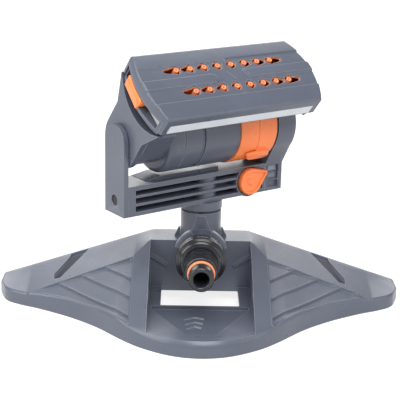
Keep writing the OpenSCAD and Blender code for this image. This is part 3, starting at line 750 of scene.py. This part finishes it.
def make_plate():
    """The spray plate: a crowned shell with sixteen flared slots."""
    crown = [(y, crown_z(y, PLATE_T)) for y in (-25 + 50 * k / 30 for k in range(31))] + [(25, 20), (-25, 20)]
    hollow = combine(prism_z(plate_outline(1.9), 20, 50), [prism_x(crown, -70, 70)], "INTERSECT")
    edge = PLATE_X - 47.5
    bed = [(edge, 37.6), (edge - 1.4, 31.8), (PLATE_X + 48.4, 31.8), (PLATE_X + 47.6, 37.6)]
    strip_bed = moved(prism_z(bed, PLATE_SIDE - 0.8, 30), turned("X"))
    tools = joined(hollow, box(-80, TRAY_X[0] - 0.5, -TRAY_HALF, TRAY_HALF, 20, TRAY_TOP),
                   box(TRAY_X[1] + 0.5, 80, -TRAY_HALF, TRAY_HALF, 20, TRAY_TOP), strip_bed,
                   *[slot_cutter(row, i) for row, i in NOZZLES])
    return cut(plate_blank(), tools)


def make_linings():
    """Soft lips that line the sixteen spray slots."""
    bm = bmesh.new()
    for row, i in NOZZLES:
        outer, inner = teardrop(row, i, -0.02), teardrop(row, i, -0.2)
        top = slot_top(row, i) - 0.7
        rings = [level(outer, LINING_FOOT), level(outer, top), level(inner, top), level(inner, LINING_FOOT)]
        rows = [[bm.verts.new(p) for p in ring] for ring in rings]
        for a, b in zip(rows, rows[1:] + rows[:1]):
            for k in range(len(a)):
                j = (k + 1) % len(a)
                bm.faces.new((a[k], a[j], b[j], b[k]))
    return bm


def make_nozzle(row, i):
    """A soft nozzle: round root, tapered stem, dished tip and a fine bore."""
    tip = NOZZLE_TIP
    profile = ([(0.02, 29.4), (1.9, 29.4), (2.0, 30.4), (1.6, 31.4), (1.5, 33), (1.5, tip - 2),
                (1.42, tip - 0.45)] + arc(1.07, tip - 0.35, 0.35, 0, 90, 4)
               + [(0.75, tip - 0.12), (0.5, tip - 0.5), (0.5, tip - 5), (0.02, tip - 5)])
    return moved(lathe(profile, 32), shifted(*nozzle_place(row, i)))


piece("spray_plate", make_plate(), HEAD, "top_plate", "body_plastic", bevel=0, angle=30)
piece("slot_linings", make_linings(), HEAD, "top_plate", "orange_rubber", bevel=0, angle=30, stands_for=False)
for row, i in NOZZLES:
    node = f"nozzle_{('front', 'back')[row]}_{i + 1}"
    piece(node + "_tip", make_nozzle(row, i), HEAD, node, "orange_rubber", bevel=0, angle=40)


# ---------------------------------------------------------------- stem and inlet

def sector(r, z0, z1, a0, a1):
    """A slice of a disc between two angles in degrees."""
    return prism_z([(0, 0)] + arc(0, 0, r, a0, a1, 12), z0, z1)


def make_stem():
    """The stem with its tapered front pad and the two lugs round the side branch."""
    taper = [(-6.4, 40), (6.4, 40), (2.3, 52.4), (-2.3, 52.4)]
    pad = loft([[(x, y, z) for x, z in taper] for y in (-13, -7)])
    pad = combine(pad, [rod(11.95, 40.2, 52.2)], "INTERSECT")
    collar = [(10.8, 19.2), (14.7, 19.2), (15.1, 19.6), (15.1, 22.4), (14.7, 22.8), (10.8, 22.8)]
    lugs = []
    for a0, a1 in ((18, 68), (112, 162)):
        lug = combine(lathe(collar), [sector(17, 18, 24, a0, a1)], "INTERSECT")
        lugs.append(moved(lug, WORLD.inverted() @ INLET))
    return joined(cad_shape("stem_body"), pad, *lugs)


def make_nut():
    """The collar nut, with two bands on its skirt and a stepped end."""
    skirt = [(10, 26.3), (12.5, 26.3), (13.5, 26.9), (13.85, 27.8), (13.85, 31.0), (13.45, 31.3),
             (13.45, 32.0), (13.85, 32.3), (13.85, 33.6)]
    end = [(12.7, 34.7), (12.45, 34.9), (12.45, 35.7), (12.2, 36.1), (11.4, 36.4), (11.2, 36.7), (11.1, 37.5),
           (10.7, 38), (9.4, 38), (9.2, 37.8), (9.2, 36.4), (10, 36.4)]
    return lathe(skirt + arc(13.05, 33.7, 0.8, 0, 75, 4) + end, 128)


def make_nose():
    """Quick-connect nose with a six-sided shoulder, a seal groove and a rounded mouth."""
    shoulder = [(4.15, 34.7), (9.9, 34.7), (9.9, 36.3), (9.1, 36.3), (9.1, 41.2), (8.5, 43), (7.3, 45),
                (7, 45.6), (7, 47.4), (8.3, 48.7), (8.5, 49.1), (8.5, 50.9), (8.1, 51.3)]
    groove_and_pin = [(5.15, 51.3), (5.15, 53.9), (6.5, 53.9), (6.8, 54.2), (6.8, 60.2)]
    mouth = arc(5.7, 60.9, 1.1, 0, 90, 5) + [(5.0, 62), (4.4, 61.7), (4.15, 61.2)]
    hexagon = [(8.75 * math.cos(math.radians(60 * k)), 8.75 * math.sin(math.radians(60 * k)))
               for k in range(6)]
    keep = joined(prism_z(hexagon, 38.5, 46), rod(20, 30, 39), rod(20, 45.6, 70))
    return combine(lathe(shoulder + groove_and_pin + mouth, 96), [keep], "INTERSECT")


piece("stem", make_stem(), WORLD, "stem_body", "body_plastic", bevel=0.2)
piece("collar_nut", make_nut(), INLET, "inlet_nut", "dark_plastic", bevel=0.12)
piece("hose_nose", make_nose(), INLET, "inlet_nose", "dark_plastic", bevel=0.12)


# ---------------------------------------------------------------- yoke and flow knob

BEAM_TOP, BEAM_FRONT, BEAM_Z = 76.5, -9.55, 59.6
KNOB_TURN = 22


def make_beam():
    """The beam with a ramp up to its raised rail."""
    above = BEAM_TOP + 5
    ramp_cut = loft([[(-42, y, BEAM_TOP + 0.03), (-42, y, above), (-31, y, above), (-31, y, BEAM_TOP + 1.72)]
                     for y in (-10, 11)])
    return cut(cad_shape("yoke_beam", YOKE), ramp_cut)


def make_arm():
    """The right arm with three deep windows beside the knob."""
    windows = [box(40.2, 47.8, BEAM_FRONT - 1, BEAM_FRONT + 1.72, BEAM_Z + z, BEAM_Z + z + 3.8)
               for z in (2.1, 6.6, 11.1)]
    return cut(cad_shape("right_arm", YOKE), *windows)


def make_knob():
    """Teardrop knob with a raised rim round a dished face."""
    shell = loft([level(drop(r, tip, 11.2, 24), z) for r, tip, z in (
        (7.3, 0.9, 8.7), (7.7, 1.3, 9.1), (7.7, 1.3, 11.6), (7.5, 1.1, 12.1), (7.2, 0.8, 12.3))])
    dish = loft([level(drop(r, tip, 10.6, 24), z) for r, tip, z in (
        (5.6, 0.3, 11.2), (6.1, 0.5, 12.35), (6.1, 0.5, 13))])
    hub = lathe([(0.01, 10.9), (2.3, 10.9), (2.3, 11.5), (2.0, 11.75), (0.01, 11.8)], 48)
    knob = joined(cut(shell, dish, rod(1.6, 8, 10.5)), hub)
    return moved(knob, turned("Z", KNOB_TURN))


piece("beam", make_beam(), YOKE, "yoke_beam", "body_plastic")
piece("arm", make_arm(), YOKE, "right_arm", "body_plastic")
piece("knob", make_knob(), KNOB, "flow_knob", "orange_plastic", bevel=0, angle=50)


# ---------------------------------------------------------------- barrel and range rings

SEAT_R, RING_R, SEAT_X, CAP_X, RING_SEAM = 18.68, 20.8, 11.4, 36.9, 24.15
TAB_TURN = 96


def make_barrel_left():
    """The barrel's closed left section, with a groove round it."""
    profile = ([(0.01, -35), (17.2, -35)] + arc(17.2, -32.2, 2.8, 270, 360, 8)
               + [(20, -26.3), (19.6, -26.1), (19.6, -25.5), (20, -25.3), (20, -15.0), (18.9, -14.7),
                  (18.9, -12.62), (16.5, -12.62), (16.5, -32.5), (0.01, -32.5)])
    return lathe(profile, 160)


def make_barrel_main():
    """The barrel's main section, with the seat of the range rings."""
    profile = [(15.5, -12.58), (18.9, -12.58), (18.9, -12.3), (20, -12.0), (20, SEAT_X - 0.3), (19.7, SEAT_X),
               (18.6, SEAT_X), (18.6, CAP_X), (15.5, CAP_X)]
    return lathe(profile, 160)


def make_ring(x0, x1, side):
    """A range ring and its finger tab, which reaches over the seam to the other ring."""
    ring = lathe([(SEAT_R, x0), (RING_R - 0.35, x0), (RING_R, x0 + 0.35), (RING_R, x1 - 0.12),
                  (RING_R - 0.12, x1), (SEAT_R, x1)], 160)
    outline = [(-7, 2.8), (-1, 4.1), (8.6, 3.9), (9.6, 2.2), (10.8, -0.6), (9.3, -2.7), (5, -3.3),
               (-2.6, -3.3), (-5.2, -0.6)]
    outline = rounded([(RING_SEAM + side * x, y) for x, y in outline], 1.4, 4)

    def layer(z, shrink):
        middle = RING_SEAM + side * 2
        return [(middle + (x - middle) * (1 - shrink / 9), y * (1 - shrink / 4), z) for x, y in outline]
    tab = loft([layer(19.4, 0), layer(RING_R + 1.3, 0), layer(RING_R + 1.8, 0.25), layer(RING_R + 2.1, 0.7)])
    beyond = sorted((RING_SEAM - side * 14, RING_SEAM + side * 0.15))
    tab = cut(tab, box(beyond[0], beyond[1], -8, 8, 15, RING_R + 0.5))
    return joined(moved(ring, turned("Y")), moved(tab, turned("X", side * TAB_TURN)))


piece("barrel_end", make_barrel_left(), BARREL, "barrel_left", "body_plastic", bevel=0, angle=30)
piece("barrel_middle", make_barrel_main(), BARREL, "barrel_main", "body_plastic", bevel=0, angle=30)
for hand, x0, x1, side in (("left", SEAT_X + 0.2, 24, -1), ("right", 24.3, CAP_X - 0.3, 1)):
    piece(f"ring_{hand}_band", make_ring(x0, x1, side), HEAD, f"range_ring_{hand}", "orange_plastic", bevel=0,
          angle=35)


# ---------------------------------------------------------------- head ends: hub, end covers, width sliders

HUB_X, HUB_APEX, HUB_LOW, HUB_R = (-54.7, -50.7), (22.2, 30.4), 20.9, 15
COVER_HALF = 19.6
COMB_Z = {-1: 33.5, 1: 35.1}
GRIP_Y = (-3, 14.5)


def tray_end(side):
    """X of the tray's end wall on that side."""
    return TRAY_X[0] if side < 0 else TRAY_X[1]


def hub_top(y, gap=0.0):
    """Height of the hub plate's dished upper edge."""
    return HUB_LOW + gap + (HUB_APEX[1] - HUB_LOW) * (min(abs(y), HUB_APEX[0]) / HUB_APEX[0]) ** 2.2


def make_hub():
    """The bearing plate at the barrel's left end, with the block that carries the tray."""
    steps = [HUB_APEX[0] * (1 - k / 16) for k in range(33)]
    plate = ([(y, hub_top(y)) for y in steps] + [(-HUB_R, HUB_R)] + arc(0, 0, HUB_R, 180, 360, 40)
             + [(HUB_R, HUB_R)])
    block = rounded([(-15, 0.5), (-15.4, 20.6), (15.4, 20.6), (15, 0.5), (10.5, -9.5), (-10.5, -9.5)], 2.2, 6)
    bore = moved(rod(4, -1, 8.1), shifted(HUB_X[0]) @ turned("Y"))
    return cut(joined(prism_x(plate, *HUB_X), prism_x(block, HUB_X[1] - 0.5, -35)), bore)


def end_outline(side, inset, inner_x, steps=24):
    """Plan of an end cover, from the tray's wall out to the plate's curved end."""
    ys = [-COVER_HALF + 2 * COVER_HALF * k / steps for k in range(steps + 1)]
    return [(end_x(y, side, inset), y) for y in ys] + [(inner_x, COVER_HALF), (inner_x, -COVER_HALF)]


def make_end_cover(side):
    """An end cover: a sill, two posts and a back wall round the slider's window."""
    edge = tray_end(side)
    shell = loft([level(end_outline(side, inset, edge + side * 0.1), z)
                  for inset, z in ((3.2, 26.6), (1.0, 29.2), (1.0, 38.3))])
    far, wall = edge + side * 20, edge + side * 1.2
    window = box(min(far, wall), max(far, wall), -17.6, 18.6, 31.2, 36.9)
    curve = [(24, 10)] + [(y, hub_top(y, 1.1)) for y in (24 - 48 * k / 32 for k in range(33))] + [(-24, 10)]
    hub_room = prism_x(curve, HUB_X[0] - 5, HUB_X[1] + 0.15)
    comb = box(edge - 4, edge + 4, -4.4, 14.4, COMB_Z[side], COMB_Z[side] + 2)
    return cut(shell, window, comb, *([hub_room] if side < 0 else []))


def make_slider(side):
    """A width slider: the CAD's comb, with a finger grip that laps over the sill."""
    edge = tray_end(side)
    near, comb_from, comb_to = edge + side * 1.95, edge + side * 2.15, edge - side * 70
    comb = cad_shape(f"width_slider_{'left' if side < 0 else 'right'}", HEAD)
    keep = box(min(comb_from, comb_to), max(comb_from, comb_to), -30, 30, 20, 50)
    comb = combine(comb, [keep], "INTERSECT")
    y0, y1 = GRIP_Y
    ys = [y0 + (y1 - y0) * k / 10 for k in range(11)]

    def plan(inset, trim=0.0):
        inner = [(near, y1 - trim), (near, y0 + trim)]
        return [(end_x(y, side, inset), max(y0 + trim, min(y1 - trim, y))) for y in ys] + inner
    grip = loft([level(plan(0.7, 0.3), 31.5), level(plan(0.2), 31.9), level(plan(0.2), 36.2),
                 level(plan(0.7, 0.3), 36.6)])
    root = [(-2.7, 32), (14.2, 32), (14.2, 30), (-2.7, 30)]
    face = [(-2.3, 34), (13.8, 34), (13.8, 30.4), (-2.3, 30.4)]
    lap = loft([[(end_x(y, side, inset), y, z) for y, z in outline]
                for inset, outline in ((0.85, root), (-0.35, face))])
    return joined(joined(comb, grip), lap)


def end_covers():
    """Both end covers, which are one node in the CAD."""
    both_covers = make_end_cover(-1)
    other = make_end_cover(1)
    mesh = bpy.data.meshes.new("cover")
    other.to_mesh(mesh)
    other.free()
    both_covers.from_mesh(mesh)
    return both_covers


piece("hub", make_hub(), HEAD, "left_hub", "body_plastic", bevel=0.3)
piece("end_frames", end_covers(), HEAD, "end_caps", "body_plastic")
piece("slider_left", make_slider(-1), HEAD, "width_slider_left", "orange_plastic", bevel=0.2)
piece("slider_right", make_slider(1), HEAD, "width_slider_right", "orange_plastic", bevel=0.2)


# ---------------------------------------------------------------- pieces that keep the CAD's shape

SKINS = {
    "body_plastic": ["left_upright", "arm_cap", "swivel_tube", "head_tray"],
    "dark_plastic": ["swivel_ring", "barrel_cap", "nozzle_manifold"],
    "orange_rubber": ["inlet_o_ring"],
    "silver_trim": ["front_trim", "scale_plates"],
    "screw_steel": ["left_screw", "cap_screws"],
}
for slot, nodes in SKINS.items():
    for node in nodes:
        refined(node, slot)


# ---------------------------------------------------------------- floor, light and camera

def area_light(name, place, aim, size, power, colour=(1, 1, 1)):
    """A square light that faces a point, in metres and watts."""
    light = bpy.data.lights.new(name, "AREA")
    light.size = size
    light.energy = power
    light.color = colour
    obj = bpy.data.objects.new(name, light)
    obj.location = place
    obj.rotation_euler = (Vector(aim) - Vector(place)).to_track_quat("-Z", "Y").to_euler()
    bpy.context.collection.objects.link(obj)


area_light("left key", (-1.2, -0.5, 0.7), (0, 0, 0.06), 0.9, 11, (1, 0.985, 0.96))
area_light("top softbox", (-0.25, -0.15, 1.3), (0, 0, 0.05), 1.0, 11.5)
area_light("front softbox", (0.15, -0.95, 1.1), (0, 0, 0.06), 0.8, 13.5)
area_light("back softbox", (0.0, 1.5, 0.8), (0, 0, 0.03), 1.6, 17)
area_light("right fill", (1.2, -0.5, 0.5), (0, 0, 0.06), 0.8, 3, (0.95, 0.97, 1))

world = bpy.data.worlds.new("studio")
world.use_nodes = True
world.node_tree.nodes["Background"].inputs["Color"].default_value = (1, 1, 1, 1)
world.node_tree.nodes["Background"].inputs["Strength"].default_value = 0.32
bpy.context.scene.world = world
bpy.context.scene.view_settings.view_transform = "Standard"

floor_mesh = bmesh.new()
bmesh.ops.create_grid(floor_mesh, x_segments=2, y_segments=2, size=6)
floor = as_object(floor_mesh, "floor")
floor_material = bpy.data.materials.new("studio floor")
floor_material.use_nodes = True
floor_look = floor_material.node_tree.nodes["Principled BSDF"].inputs
floor_look["Base Color"].default_value = (0.28, 0.28, 0.28, 1)
floor_look["Roughness"].default_value = 0.9
floor_look["Emission Color"].default_value = (1, 1, 1, 1)
floor_look["Emission Strength"].default_value = 0.8
floor_material.cycles.emission_sampling = "NONE"
floor.data.materials.append(floor_material)

camera = bpy.data.cameras.new("camera")
camera.sensor_width = 36
camera.lens = 103.5
eye = bpy.data.objects.new("camera", camera)
bpy.context.collection.objects.link(eye)
elevation, azimuth, roll = math.radians(17.22), math.radians(-0.86), math.radians(1.31)
back = Vector((math.sin(azimuth) * math.cos(elevation), -math.cos(azimuth) * math.cos(elevation),
               math.sin(elevation)))
flat_right = Vector((math.cos(azimuth), math.sin(azimuth), 0))
flat_up = back.cross(flat_right)
right = flat_right * math.cos(roll) + flat_up * math.sin(roll)
up = back.cross(right)
aim = Matrix((right, up, back)).transposed().to_4x4()
eye.matrix_world = shifted(-0.0101, -0.6245, 0.2516) @ aim
bpy.context.scene.camera = eye
